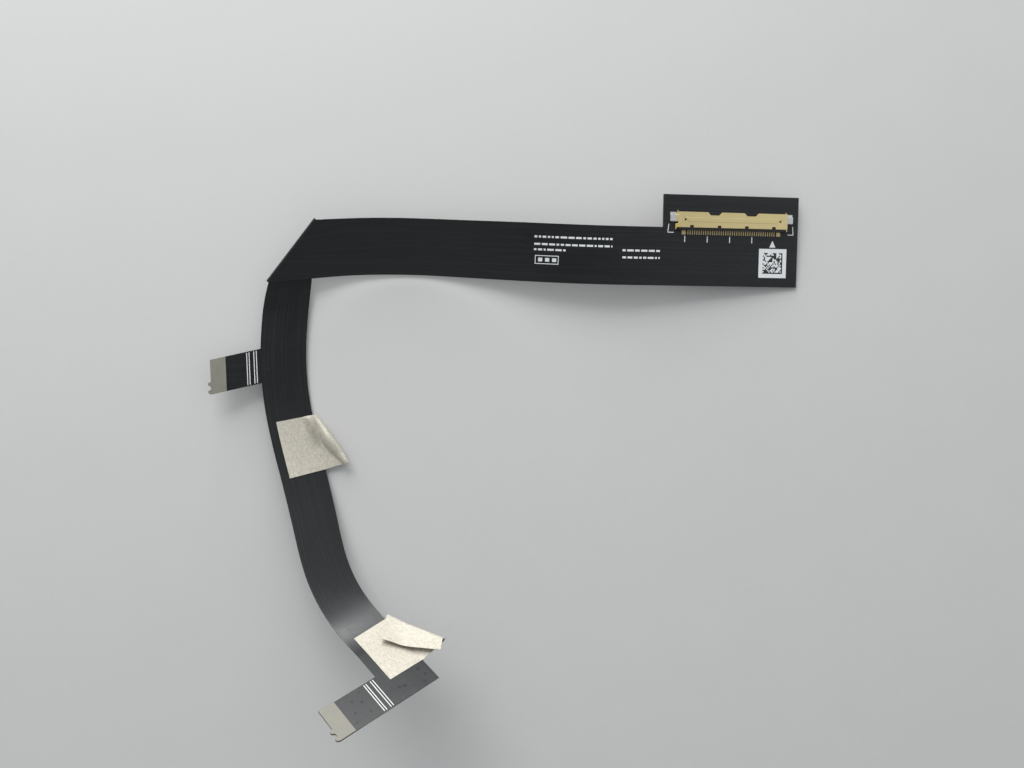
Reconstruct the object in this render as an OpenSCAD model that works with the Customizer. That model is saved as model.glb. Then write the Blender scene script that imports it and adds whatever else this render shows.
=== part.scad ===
// Flat flex cable: a folded flexible circuit with a board-to-wire connector on
// its wide end, two plug-in tabs and two grounding tapes of conductive cloth.
// The cable lies as it comes to rest: a long strip waves towards the connector,
// and below a crease an arm twists on to its edge and rises to the lower tab.

/* [Laminate] */
// Thickness of the flexible laminate
flex_t = 0.2; // [0.1:0.05:0.4]
// Radius of the crease, to the middle of the laminate
crease_r = 0.4; // [0.3:0.05:0.8]
// Angle between the crease and the strip
crease_angle = 47; // [40:1:60]

/* [Long strip] */
// Width of the long strip
strip_w = 12.5; // [9:0.5:15]
// Length of the strip from the middle of the crease to the connector end
strip_len = 80; // [60:1:110]
// Height of the strip's centre line at the crease
strip_lift = 5.1; // [4:0.1:7]
// Compass direction of the strip where it leaves the crease
strip_heading = 6; // [0:1:12]
// How far the strip bows away from that direction and comes back to straight
strip_bow = 9.5; // [0:0.5:14]
// Average slope of the strip
strip_slope = -1.5; // [-3:0.5:0]
// Swing of its slope either side of the average
strip_wave = 7; // [0:1:10]
// Sideways lean of the strip at the crease
strip_lean = 18; // [5:1:22]
// Extra lean in its first half
strip_lean_more = 6; // [0:1:8]
// Lean left at the connector end
board_lean = 4; // [0:1:8]

/* [Curled arm] */
// Width of the arm
arm_w = 9.6; // [8:0.2:12]
// Length of the arm from the crease to its cut end
arm_len = 112; // [105:0.5:125]
// Compass direction of the arm where it leaves the crease
arm_heading = -99; // [-105:1:-90]
// First, gentle turn of the arm
arm_turn = 25; // [10:1:30]
// Second turn, as the arm rises
arm_turn_more = 41; // [20:1:50]
// Slope of the arm as it drops from the crease
arm_fall = 22; // [18:1:26]
// Slope of the arm where it rises to the lower tab
arm_lift = 36; // [15:1:40]
// Sideways lean of the arm at the crease
arm_lean = 8; // [4:1:12]
// Twist added along the arm
arm_twist = 44; // [10:1:50]

/* [Plug-in tabs] */
// Width of a tab
tab_w = 7.5; // [5:0.5:9]
// Length of the side tab beyond the edge of the arm
side_tab_len = 10.5; // [8:0.5:15]
// Length of the lower tab beyond the edge of the arm
lower_tab_len = 12.5; // [9:0.5:16]
// Distance of the side tab along the arm
side_tab_at = 29; // [26:1:40]
// Rise of the side tab
side_tab_rise = 11; // [5:1:25]
// Rake of the side tab
side_tab_rake = 11; // [0:1:15]
// Length of a tab's stiffener
tab_plate_len = 3.2; // [2:0.1:5]
// Thickness of a tab's stiffener
tab_plate_t = 0.2; // [0.1:0.05:0.3]
// Spacing of a tab's bare fingers
finger_pitch = 0.5; // [0.3:0.1:1]
// Width of a finger
finger_w = 0.3; // [0.15:0.05:0.4]
// Length of a finger
finger_len = 2.6; // [1.5:0.1:4]
// Thickness of a finger
finger_t = 0.04; // [0.03:0.01:0.08]

/* [Connector end] */
// Length of the wide end
board_len = 30.5; // [28:0.5:40]
// How far the wide end stands out beyond the strip
board_step = 7; // [5:0.5:10]
// Thickness of the stiffener under the wide end
board_plate_t = 0.3; // [0.2:0.05:0.8]
// Number of contacts
pins = 40; // [20:2:40]
// Spacing of the contacts
pin_pitch = 0.5; // [0.4:0.05:0.5]
// Length that the shell has beyond the row of contacts
shell_extra = 5.1; // [4:0.1:6]
// Distance of the shell's front from the edge of the wide end
connector_setback = 3.8; // [3:0.1:5]
// Depth of the shell from front to back
shell_d = 3.3; // [2.8:0.1:4]
// Height of the connector above the laminate
connector_h = 1.1; // [1:0.05:1.6]
// Thickness of the shell's sheet metal
shell_t = 0.15; // [0.1:0.05:0.2]
// Width of a solder lug
lug_w = 1.5; // [1:0.1:2]
// Side of the square label
label_size = 6.3; // [4:0.1:8]
// Distance of the label from the end of the cable
label_side = 2.5; // [1:0.1:5]
// Distance of the label from the strip's side of the wide end
label_foot = 2; // [1:0.1:4]

/* [Grounding tapes] */
// Thickness of the conductive cloth
tape_t = 0.12; // [0.08:0.02:0.2]
// Length of a tape along the arm
tape_len = 12.5; // [10:0.5:16]
// Distance of the upper tape along the arm
upper_tape_at = 44.5; // [41:0.5:48]
// How far the lower tape reaches past the near side of the lower tab
lower_tape_past = 2.3; // [0:0.1:4]
// How far a tape reaches past the arm's edge at its fold
tape_overhang = 5; // [3:0.5:6]

/* [Hidden] */

path_step = 1;          // spacing of the points on a centre line
station = 2;            // spacing of the sections of a sheet
crease_run = strip_w / 2 / tan(crease_angle);
settle = 8;             // stretch in which a section turns from the crease to square
side_tab_end = side_tab_at + tab_w;
lower_tab_at = arm_len - tab_w;
arm_end_flat = 6;       // straight stretch before the lower tab
arm_flat = lower_tab_at - arm_end_flat;
board_w = strip_w + board_step;

// ---- Curves: eased turns and the frame that follows them
function smooth(t) = let (u = min(max(t, 0), 1)) u * u * (3 - 2 * u);
function ease(s, from, to, change) = change * smooth((s - from) / (to - from));
function mix(a, b, t) = a * (1 - t) + b * t;
function unit(v) = v / norm(v);

// Shares of the strip's length at which its bow, its lean and its wave change
bow_out_by = 0.45;
bow_back_from = 0.62;
lean_peak_at = 0.15;
lean_off_from = 0.31;
lean_off_by = 0.94;
wave_turn = 320;
// Shares of the arm's length at which its turns, its fall and its rise begin or end
turn_from = 0.12;
turn_by = 0.57;
turn_more_from = 0.7;
fall_by = 0.27;
rise_from = 0.3;

// Heading, slope and lean at a distance s along each centre line
strip_angles = function (s) let (t = min(s, strip_len) / strip_len) [
    strip_heading - ease(t, 0, bow_out_by, strip_bow)
        + ease(t, bow_back_from, 1, strip_bow - strip_heading),
    strip_slope - strip_wave * cos(wave_turn * t),
    strip_lean + ease(t, 0, lean_peak_at, strip_lean_more)
        - ease(t, lean_off_from, lean_off_by, strip_lean + strip_lean_more - board_lean)
];
arm_angles = function (s) let (
    t = min(max(s, 0), arm_flat) / arm_flat,
    rise = max(t - rise_from, 0) / (1 - rise_from)
) [
    arm_heading + ease(t, turn_from, turn_by, arm_turn) + ease(t, turn_more_from, 1, arm_turn_more),
    -arm_fall * (1 - smooth(t / fall_by)) + arm_lift * rise * rise,
    -arm_lean - arm_twist * t * t
];

// The three directions of a frame: along, to the left, and out of the face
function along(a) = [cos(a[1]) * cos(a[0]), cos(a[1]) * sin(a[0]), sin(a[1])];
function left(a) = cos(a[2]) * [-sin(a[0]), cos(a[0]), 0]
    + sin(a[2]) * [-sin(a[1]) * cos(a[0]), -sin(a[1]) * sin(a[0]), cos(a[1])];
function face(a) = cross(along(a), left(a));

// A ribbon is its first distance, the points of its centre line, and its angles
function ribbon(first, last, start, angles) = [
    first,
    [for (i = 0, p = start; i <= ceil((last - first) / path_step);
        p = p + path_step * along(angles(first + (i + 0.5) * path_step)), i = i + 1) p],
    angles
];
function centre(r, s) = let (
    x = min(max((s - r[0]) / path_step, 0), len(r[1]) - 1.001),
    i = floor(x)
) mix(r[1][i], r[1][i + 1], x - i);
function place(r, s, v, h = 0) = let (a = r[2](s)) centre(r, s) + v * left(a) + h * face(a);

// ---- The two arms, the second hung from the crease of the first
strip = ribbon(-crease_run - path_step, strip_len + 1, [-crease_run - path_step, 0, strip_lift
    + (crease_run + path_step) * tan(strip_wave - strip_slope)], strip_angles);
crease_up = face(strip_angles(0));
inner_end = place(strip, crease_run, strip_w / 2);
outer_end = place(strip, -crease_run, -strip_w / 2);
crease_out = unit(cross(outer_end - inner_end, crease_up));
inner_low = inner_end - 2 * crease_r * crease_up;
outer_low = outer_end - 2 * crease_r * crease_up;
arm = ribbon(0, arm_len + 1, inner_low - arm_w / 2 * left(arm_angles(0)), arm_angles);
arm_outer_from = (outer_low - inner_low) * along(arm_angles(0));

// ---- Sections of the laminate: left point, right point, direction of the face
function strip_section(s) = let (k = smooth((crease_run + settle - s) / settle)) [
    place(strip, s, strip_w / 2),
    place(strip, s - 2 * crease_run * k, -strip_w / 2),
    face(strip_angles(s - crease_run * k))
];
function roll_section(turn) = let (out = crease_up * cos(turn) + crease_out * sin(turn)) [
    inner_end + crease_r * (out - crease_up),
    outer_end + crease_r * (out - crease_up),
    out
];
arm_settle = arm_outer_from + settle;
function arm_section(s) = let (
    k = max(1 - s / arm_settle, 0),
    w = s + arm_outer_from * k,
    miss = outer_low - place(arm, arm_outer_from, -arm_w / 2)
) [
    place(arm, s, arm_w / 2),
    place(arm, w, -arm_w / 2) + miss * k * k,
    -unit(mix(face(arm_angles((s + w) / 2)), crease_up, k * k))
];
strip_stations = ceil((strip_len - crease_run) / station);
arm_stations = ceil(arm_len / station);
laminate = concat(
    [for (i = [0:strip_stations]) strip_section(mix(strip_len + 0.5, crease_run, i / strip_stations))],
    [for (turn = [15:15:165]) roll_section(turn)],
    [for (i = [0:arm_stations]) arm_section(arm_len * i / arm_stations)]
);

// ---- A closed sheet from rows of mid-surface points, thickened along each point's normal
module sheet(rows, normals, t) {
    m = len(rows);
    n = len(rows[0]);
    upper = [for (i = [0:m - 1]) for (j = [0:n - 1]) rows[i][j] + t / 2 * normals[i][j]];
    lower = [for (i = [0:m - 1]) for (j = [0:n - 1]) rows[i][j] - t / 2 * normals[i][j]];
    all = m * n;
    rim = concat(
        [for (j = [0:n - 2]) j],
        [for (i = [0:m - 2]) i * n + n - 1],
        [for (j = [n - 1:-1:1]) (m - 1) * n + j],
        [for (i = [m - 1:-1:1]) i * n]
    );
    quads = [for (i = [0:m - 2]) for (j = [0:n - 2])
        [i * n + j, i * n + j + 1, (i + 1) * n + j + 1, (i + 1) * n + j]];
    faces = concat(
        [for (q = quads) [q[0], q[1], q[2]]],
        [for (q = quads) [q[0], q[2], q[3]]],
        [for (q = quads) [all + q[2], all + q[1], all + q[0]]],
        [for (q = quads) [all + q[3], all + q[2], all + q[0]]],
        [for (k = [0:len(rim) - 1]) let (a = rim[k], b = rim[(k + 1) % len(rim)]) [b, a, all + a]],
        [for (k = [0:len(rim) - 1]) let (a = rim[k], b = rim[(k + 1) % len(rim)]) [b, all + a, all + b]]
    );
    polyhedron(concat(upper, lower), faces, convexity = 6);
}

// ---- Where things stand: on the wide end and on the two tabs
module on(p, a) {
    translate(p + shift)
        rotate([a[2], -a[1], a[0]])
            children();
}
module on_board() {
    on(centre(strip, strip_len), strip_angles(strip_len))
        translate([board_len / 2, strip_w / 2 + board_step, flex_t / 2])
            children();
}
side_tab_angles = let (a = arm_angles((side_tab_at + side_tab_end) / 2)) [a[0], a[1], -side_tab_rise];
module on_side_tab() {
    on(place(arm, side_tab_at, -arm_w / 2), side_tab_angles)
        children();
}
module on_lower_tab() {
    on(place(arm, lower_tab_at, -arm_w / 2), arm_angles(arm_flat))
        children();
}

// Outline of a tab: raked sides, and two small locking teeth on its end
tooth_w = 1.1;
tooth_h = 0.6;
teeth = [tab_w - 2.8, tab_w - tooth_w];   // where each tooth starts along the end
function rake_at(out, rake) = out * tan(rake);
function tab_outline(from, to, rake) = let (near = rake_at(from, rake), far = rake_at(to, rake)) concat(
    [[far, -to]],
    [for (x = teeth) for (q = [[0, 0], [0.3, tooth_h], [0.7, tooth_h], [1, 0.1 * tooth_h]])
        [far + x + tooth_w * q[0], -to - q[1]]],
    [[tab_w + near, -from], [near, -from]]
);
root = 0.4;   // how far a tab's root runs into the arm
module tab(len, rake) {
    translate([0, 0, -flex_t / 2])
        linear_extrude(flex_t)
            polygon(tab_outline(-root, len, rake));
}
module tab_stiffener(len, rake) {
    color("#8a887c")
        translate([0, 0, flex_t / 2])
            linear_extrude(tab_plate_t)
                polygon(tab_outline(len - tab_plate_len, len, rake));
}
finger_inset = 0.3;   // distance of the fingers from the tab's end
fingers = floor((tab_w - 2 * finger_pitch) / finger_pitch);
module tab_contacts(len, rake) {
    color("#c9a24a")
        for (i = [0:fingers - 1])
            translate([finger_pitch + i * finger_pitch + rake_at(len - finger_len / 2, rake),
                -len + finger_inset, -flex_t / 2 - finger_t])
                cube([finger_w, finger_len, finger_t]);
}

// ---- Size of the whole, so that the origin is under its middle on the table
tooth_tips = [for (x = teeth) for (k = [0.3, 0.7]) x + k * tooth_w];
function tab_corner(a, p, out, x, h) = p + x * along(a) - out * left(a) + h * face(a);
reach = concat(
    [for (q = laminate) for (k = [0, 1]) for (h = [-1, 1]) q[k] + h * flex_t / 2 * q[2]],
    [for (x = [0, board_len]) for (y = [-strip_w / 2, strip_w / 2 + board_step])
        for (h = [-flex_t / 2 - board_plate_t, flex_t / 2])
            let (a = strip_angles(strip_len))
                centre(strip, strip_len) + x * along(a) + y * left(a) + h * face(a)],
    [for (x = [0, tab_w]) for (h = [-flex_t / 2 - finger_t, flex_t / 2 + tab_plate_t])
        tab_corner(side_tab_angles, place(arm, side_tab_at, -arm_w / 2), side_tab_len,
            x + rake_at(side_tab_len, side_tab_rake), h)],
    [for (x = tooth_tips) for (h = [-flex_t / 2, flex_t / 2 + tab_plate_t])
        tab_corner(side_tab_angles, place(arm, side_tab_at, -arm_w / 2), side_tab_len + tooth_h,
            x + rake_at(side_tab_len, side_tab_rake), h)],
    [for (x = tooth_tips) for (h = [-flex_t / 2, flex_t / 2 + tab_plate_t])
        tab_corner(arm_angles(arm_flat), place(arm, lower_tab_at, -arm_w / 2),
            lower_tab_len + tooth_h, x, h)],
    [for (x = [0, tab_w]) for (h = [-flex_t / 2 - finger_t, flex_t / 2 + tab_plate_t])
        tab_corner(arm_angles(arm_flat), place(arm, lower_tab_at, -arm_w / 2), lower_tab_len, x, h)]
);
low = [for (k = [0:2]) min([for (q = reach) q[k]])];
high = [for (k = [0:2]) max([for (q = reach) q[k]])];
shift = [-(low[0] + high[0]) / 2, -(low[1] + high[1]) / 2, -low[2]];

// ---- The laminate: folded strip and arm, wide end and two tabs in one piece
module flex_circuit() {
    color("#23282c") {
        translate(shift)
            sheet([for (q = laminate) [q[0], (q[0] + q[1]) / 2, q[1]]],
                [for (q = laminate) [q[2], q[2], q[2]]], flex_t);
        on_board()
            translate([-board_len / 2, -board_w, -flex_t])
                cube([board_len, board_w, flex_t]);
        on_side_tab()
            tab(side_tab_len, side_tab_rake);
        on_lower_tab()
            tab(lower_tab_len, 0);
    }
}

// ---- Wide end: stiffener, connector and label
module connector_stiffener() {
    color("#6d6f6c")
        on_board()
            translate([-board_len / 2, -board_w, -flex_t - board_plate_t])
                cube([board_len, board_w, board_plate_t]);
}
row_w = (pins - 1) * pin_pitch;
shell_w = row_w + shell_extra;
play = 0.03;          // clearance of a contact in its slot
slot_side = 0.1;      // half width of a contact
housing_w = shell_w - 2 * shell_t - 2 * play;
housing_tail = 0.5;   // how far the housing stands out behind the shell
housing_lip = 0.2;    // how far its floor shows in front of the shell
housing_d = shell_d + housing_tail - play;
floor_t = 0.3;
rear_wall = 1.1;
tail_len = 0.9;
module on_connector() {
    on_board()
        translate([0, -connector_setback - shell_d, 0])
            children();
}
module connector_housing() {
    color("#1c1c1e")
        on_connector()
            difference() {
                union() {
                    translate([-housing_w / 2, -housing_tail, 0])
                        cube([housing_w, housing_d, connector_h - shell_t - play]);
                    translate([-housing_w / 2, 0, 0])
                        cube([housing_w, shell_d + housing_lip, floor_t]);
                }
                translate([-row_w / 2 - pin_pitch, rear_wall, floor_t])
                    cube([row_w + 2 * pin_pitch, shell_d, connector_h]);
                for (i = [0:pins - 1])
                    translate([-row_w / 2 + i * pin_pitch - slot_side - play, -housing_tail - 1, -1])
                        cube([2 * (slot_side + play), shell_d + 1, 1 + floor_t + play]);
            }
}
ground_tail_w = 0.9;  // the wide earth tail at each end of the row
tail_t = 0.12;
contact_tip = 1;      // distance of a contact's tip from the shell's front
module connector_contacts() {
    color("#b9a067")
        on_connector() {
            for (side = [-1, 1])
                translate([side * (row_w / 2 + pin_pitch + ground_tail_w / 2) - ground_tail_w / 2,
                    -housing_tail - tail_len, 0])
                    cube([ground_tail_w, tail_len - play, tail_t]);
            for (i = [0:pins - 1])
                translate([-row_w / 2 + i * pin_pitch - slot_side, 0, 0])
                    rotate([90, 0, 90])
                        linear_extrude(2 * slot_side)
                            polygon([
                                [-housing_tail - tail_len, 0], [rear_wall, 0], [rear_wall, floor_t / 2],
                                [shell_d - contact_tip, floor_t],
                                [shell_d - contact_tip - 0.2, floor_t + 0.2],
                                [shell_d - contact_tip - 0.5, floor_t + 0.1], [rear_wall, floor_t - 0.01],
                                [-housing_tail, floor_t - 0.01], [-housing_tail - 0.2, tail_t],
                                [-housing_tail - tail_len, tail_t]
                            ]);
        }
}
notch_w = 3.2;        // recess in the front lip of the shell
notch_d = 0.65;
window_w = 0.8;       // spring window at the back of the shell
window_d = 0.5;
band_len = 20.4;      // long embossed band on the shell, between two small holes
band_w = 0.9;
band_h = 0.06;
hole_d = 0.45;
foot_w = 0.35;        // solder feet at the shell's rear corners
foot_d = 1.2;
horn = 0.4;           // how far the side walls stand out in front
module connector_shell() {
    color("#d9c48f")
        on_connector()
            difference() {
                union() {
                    translate([-shell_w / 2, 0, 0])
                        cube([shell_w, shell_d, connector_h]);
                    translate([-band_len / 2, shell_d / 2 - band_w / 2, connector_h - shell_t])
                        cube([band_len, band_w, shell_t + band_h]);
                    for (side = [-1, 1]) {
                        translate([side * (shell_w / 2 + foot_w / 2) - foot_w / 2, -foot_w, 0])
                            cube([foot_w, foot_d, 2 * shell_t]);
                        translate([side * (shell_w / 2 - shell_t / 2) - shell_t / 2, shell_d - horn, 0])
                            cube([shell_t, 2 * horn, connector_h / 2]);
                    }
                }
                translate([-shell_w / 2 + shell_t, -1, -1])
                    cube([shell_w - 2 * shell_t, shell_d + 2, 1 + connector_h - shell_t]);
                for (side = [-1, 1]) {
                    translate([side * shell_w / 6, shell_d, 0])
                        linear_extrude(connector_h + 1)
                            polygon([
                                [-notch_w / 2, 1], [-notch_w / 2, 0], [-notch_w / 2 + notch_d, -notch_d],
                                [notch_w / 2 - notch_d, -notch_d], [notch_w / 2, 0], [notch_w / 2, 1]
                            ]);
                    translate([side * (band_len / 2 + hole_d), shell_d / 2, 0])
                        cylinder(d = hole_d, h = connector_h + 1, $fn = 16);
                }
                for (i = [-1.5:1:1.5])
                    translate([i * shell_w / 4 - window_w / 2, -1, connector_h / 2])
                        cube([window_w, 1 + window_d, connector_h]);
            }
}
lug_d = 2;            // depth of a solder lug
lug_step = 0.5;       // low front edge of a lug, where the solder wets it
module hold_down(side) {
    color("#d8d8d4")
        on_connector()
            translate([side * (shell_w / 2 + lug_w / 2) - lug_w / 2, shell_d - lug_d, 0]) {
                cube([lug_w, lug_d - lug_step, connector_h / 2]);
                cube([lug_w, lug_d, connector_h / 4]);
            }
}
module hold_down_left() {
    hold_down(-1);
}
module hold_down_right() {
    hold_down(1);
}
label_t = 0.08;
module label() {
    color("white")
        on_board()
            translate([board_len / 2 - label_size - label_side, -board_w + label_foot, 0])
                cube([label_size, label_size, label_t]);
}

// ---- Tab pieces
module side_tab_stiffener() {
    on_side_tab()
        tab_stiffener(side_tab_len, side_tab_rake);
}
module side_tab_contacts() {
    on_side_tab()
        tab_contacts(side_tab_len, side_tab_rake);
}
module lower_tab_stiffener() {
    on_lower_tab()
        tab_stiffener(lower_tab_len, 0);
}
module lower_tab_contacts() {
    on_lower_tab()
        tab_contacts(lower_tab_len, 0);
}

// ---- A cloth tape: stuck to the arm, past its edge, and doubled back over itself
fold_r = 0.55;        // radius of the soft fold
fold_gap = 0.3;       // how far the fold starts beyond the arm's edge
tape_edge = 3;        // how far the tape reaches on the arm's other side
bond = 0.03;          // film of glue between a tape and the arm
upper_droop = 1;      // lean of the upper tape's loose end, which lies on the table
lower_droop = -34;    // lean of the lower tape's loose end, held up by the arm
upper_flap = [4, 0.8];    // length of the doubled-back flap at the tape's two ends
lower_flap = [5, 2.5];
upper_flap_rise = -0.5;   // how far the flap's free edge springs up or sinks
lower_flap_rise = 0.3;
fold_angle = atan(tape_overhang / tape_len);

// One row across a tape at a share t of its length: points, then their normals
function tape_row(s, t, droop, flap, rise) = let (
    a = arm_angles(s),
    b = [a[0], a[1], mix(a[2], droop, smooth(2 * t))],
    edge = place(arm, s, arm_w / 2, (flex_t + tape_t) / 2 + bond),
    out = fold_gap + tape_overhang * t,
    back = mix(flap[0], flap[1], t)
) [
    concat(
        [for (v = [-tape_edge, 0]) place(arm, s, v, (flex_t + tape_t) / 2 + bond)],
        [edge],
        [for (turn = [0:30:180])
            edge + (out + fold_r * sin(turn)) * left(b) + fold_r * (1 - cos(turn)) * face(b)],
        [for (k = [0.5, 1]) edge + (out - k * back * cos(2 * fold_angle)) * left(b)
            + k * back * sin(2 * fold_angle) * along(b) + (2 * fold_r + k * rise) * face(b)]
    ),
    concat(
        [face(a), face(a), unit(face(a) + face(b))],
        [for (turn = [0:30:180]) face(b) * cos(turn) - left(b) * sin(turn)],
        [-face(b), -face(b)]
    )
];
module tape(from, droop, flap, rise) {
    rows = 12;
    strip_of_rows = [for (i = [0:rows]) tape_row(from + tape_len * i / rows, i / rows, droop, flap, rise)];
    color("#cbc4b2")
        translate(shift)
            sheet([for (r = strip_of_rows) r[0]], [for (r = strip_of_rows) r[1]], tape_t);
}
module upper_tape() {
    tape(upper_tape_at, upper_droop, upper_flap, upper_flap_rise);
}
module lower_tape() {
    tape(lower_tab_at + lower_tape_past - tape_len, lower_droop, lower_flap, lower_flap_rise);
}

flex_circuit();
connector_stiffener();
connector_housing();
connector_shell();
connector_contacts();
hold_down_left();
hold_down_right();
label();
side_tab_stiffener();
side_tab_contacts();
lower_tab_stiffener();
lower_tab_contacts();
upper_tape();
lower_tape();
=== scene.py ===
"""Flat flex cable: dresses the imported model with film, cloth tapes, print and metal."""

import random
from math import atan, ceil, cos, floor, pi, radians, sin, tan

import bmesh
import bpy
from bpy.props import FloatProperty, FloatVectorProperty, PointerProperty
from mathutils import Matrix, Vector


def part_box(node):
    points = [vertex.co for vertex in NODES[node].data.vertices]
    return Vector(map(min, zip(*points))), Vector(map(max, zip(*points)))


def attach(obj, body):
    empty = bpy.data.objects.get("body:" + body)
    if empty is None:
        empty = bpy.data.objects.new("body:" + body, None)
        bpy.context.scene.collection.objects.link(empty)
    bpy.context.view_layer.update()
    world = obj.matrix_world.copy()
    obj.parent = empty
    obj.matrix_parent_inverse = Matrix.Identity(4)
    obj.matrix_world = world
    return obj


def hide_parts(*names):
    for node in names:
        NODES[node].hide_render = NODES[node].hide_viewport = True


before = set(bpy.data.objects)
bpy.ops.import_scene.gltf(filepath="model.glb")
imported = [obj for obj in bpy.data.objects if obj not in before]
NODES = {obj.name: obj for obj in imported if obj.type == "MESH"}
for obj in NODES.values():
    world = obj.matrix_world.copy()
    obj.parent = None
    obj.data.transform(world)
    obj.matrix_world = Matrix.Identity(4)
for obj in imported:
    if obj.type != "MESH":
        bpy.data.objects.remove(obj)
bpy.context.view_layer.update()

bl_info = {
    "name": "Flat flex cable",
    "version": (1, 0, 0),
    "blender": (4, 5, 0),
    "location": "View3D > Sidebar > Flex Cable",
    "description": "Builds a folded flat flex cable with a connector, two tabs and two tapes",
    "category": "Object",
}

MM = 0.001
ROOT = "root"


# ---------------------------------------------------------------- settings
def length(name, millimetres, text):
    """A length, shown in the scene's own unit."""
    return FloatProperty(name=name, description=text, default=millimetres * MM, min=0.0,
                         unit="LENGTH", subtype="DISTANCE")


def angle(name, degrees, text):
    """An angle, kept in radians."""
    return FloatProperty(name=name, description=text, default=radians(degrees), subtype="ANGLE")


def tint(name, colour, text):
    """A plain colour, in linear light."""
    return FloatVectorProperty(name=name, description=text, default=colour, size=3,
                               min=0.0, max=1.0, subtype="COLOR")


class StripSettings(bpy.types.PropertyGroup):
    """The long strip, its crease and the wide end"""

    film: length("Film thickness", 0.2, "Thickness of the flexible laminate")
    crease_r: length("Crease radius", 0.4, "Radius of the crease, to the middle of the film")
    crease_angle: angle("Crease angle", 47, "Angle between the crease and the strip")
    width: length("Width", 12.5, "Width of the long strip")
    long: length("Length", 80, "Length of the strip from the crease to the connector end")
    lift: length("Lift", 5.1, "Height of the strip's centre line at the crease")
    heading: angle("Heading", 6, "Direction of the strip where it leaves the crease")
    bow: angle("Bow", 9.5, "How far the strip bows away and comes back to straight")
    slope: angle("Slope", -1.5, "Average slope of the strip")
    wave: angle("Wave", 7, "Swing of the slope either side of the average")
    lean: angle("Lean", 18, "Sideways lean of the strip at the crease")
    lean_more: angle("Extra lean", 6, "Extra lean in the first half of the strip")
    board_lean: angle("Lean at the end", 4, "Lean left at the connector end")
    board_long: length("Wide end length", 30.5, "Length of the wide end")
    board_step: length("Wide end step", 7, "How far the wide end stands out beyond the strip")


class ArmSettings(bpy.types.PropertyGroup):
    """The curled arm and its two tabs"""

    width: length("Width", 9.6, "Width of the arm")
    long: length("Length", 112, "Length of the arm from the crease to its cut end")
    heading: angle("Heading", -99, "Direction of the arm where it leaves the crease")
    turn: angle("First turn", 25, "First, gentle turn of the arm")
    turn_more: angle("Second turn", 41, "Second turn, as the arm rises")
    fall: angle("Fall", 22, "Slope of the arm as it drops from the crease")
    lift: angle("Lift", 36, "Slope of the arm where it rises to the lower tab")
    lean: angle("Lean", 8, "Sideways lean of the arm at the crease")
    twist: angle("Twist", 44, "Twist added along the arm")
    flat: length("Straight end", 6, "Straight stretch before the lower tab")
    tab_width: length("Tab width", 7.5, "Width of a tab")
    side_tab: length("Side tab length", 10.5, "Length of the side tab beyond the arm")
    lower_tab: length("Lower tab length", 12.5, "Length of the lower tab beyond the arm")
    side_tab_at: length("Side tab place", 29, "Distance of the side tab along the arm")
    side_tab_rise: angle("Side tab rise", 11, "Rise of the side tab")
    side_tab_rake: angle("Side tab rake", 11, "Rake of the side tab")


class TapeSettings(bpy.types.PropertyGroup):
    """The two grounding tapes"""

    thick: length("Cloth thickness", 0.12, "Thickness of the conductive cloth")
    bond: length("Glue", 0.03, "Film of glue between a tape and the arm")
    long: length("Length", 12.5, "Length of a tape along the arm")
    upper_at: length("Upper tape place", 44.5, "Distance of the upper tape along the arm")
    lower_past: length("Lower tape place", 2.3, "How far the lower tape reaches past the tab's side")
    overhang: length("Overhang", 5, "How far a tape reaches past the arm's edge")
    fold_r: length("Fold radius", 0.55, "Radius of the soft fold")
    fold_gap: length("Fold gap", 0.3, "How far the fold starts beyond the arm's edge")
    reach: length("Reach", 3, "How far a tape reaches over the arm's other half")
    upper_droop: angle("Upper droop", 1, "Lean of the upper tape's loose end")
    lower_droop: angle("Lower droop", -34, "Lean of the lower tape's loose end")
    upper_flap: length("Upper flap", 4, "Length of the upper tape's flap at its wide end")
    upper_flap_end: length("Upper flap tip", 0.8, "Length of the upper tape's flap at its tip")
    lower_flap: length("Lower flap", 6.2, "Length of the lower tape's flap at its wide end")
    lower_flap_end: length("Lower flap tip", 2.5, "Length of the lower tape's flap at its tip")
    lower_rise: length("Lower flap rise", 0.3, "How far the lower flap springs up")
    weave: length("Weave", 0.30, "Spacing of the cloth's threads")


class LookSettings(bpy.types.PropertyGroup):
    """Colours of the finishes"""

    film: tint("Film", (0.0060, 0.0074, 0.0084), "Dark cover film")
    film_high: tint("Film over copper", (0.0140, 0.0162, 0.0176), "Film where copper lies under it")
    cloth: tint("Cloth", (0.66, 0.62, 0.52), "Conductive cloth")
    # Painted shade: the cloth's colour in the weave's hollows, where shade falls between threads.
    cloth_hollow_shade: tint("Cloth between threads", (0.25, 0.235, 0.19), "Cloth between its threads")
    ink: tint("Ink", (0.78, 0.80, 0.80), "White print")
    gold: tint("Gold", (0.62, 0.50, 0.28), "Gold plating")
    nickel: tint("Shell", (0.96, 0.79, 0.40), "Plated sheet metal of the shell")
    tin: tint("Tin", (0.74, 0.74, 0.72), "Tinned lugs")
    moulding: tint("Moulding", (0.012, 0.012, 0.013), "Black moulded housing")
    tab_plate: tint("Tab plate", (0.24, 0.23, 0.19), "Stiffener of a tab")
    board_plate: tint("Wide end plate", (0.15, 0.16, 0.15), "Stiffener under the wide end")
    paper: tint("Label", (0.82, 0.84, 0.84), "White label")
    floor: tint("Floor", (0.60, 0.60, 0.585), "Pale floor")


def settings():
    """The four groups of settings, in the order strip, arm, tape, look."""
    scene = bpy.context.scene
    return scene.flex_strip, scene.flex_arm, scene.flex_tape, scene.flex_look


# ---------------------------------------------------------------- the lie of the cable
def smooth(t):
    """Eased step from 0 to 1."""
    u = min(max(t, 0.0), 1.0)
    return u * u * (3 - 2 * u)


def ease(t, start, stop, change):
    return change * smooth((t - start) / (stop - start))


def mix(a, b, t):
    return a * (1 - t) + b * t


def along(a):
    return Vector((cos(a[1]) * cos(a[0]), cos(a[1]) * sin(a[0]), sin(a[1])))


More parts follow.
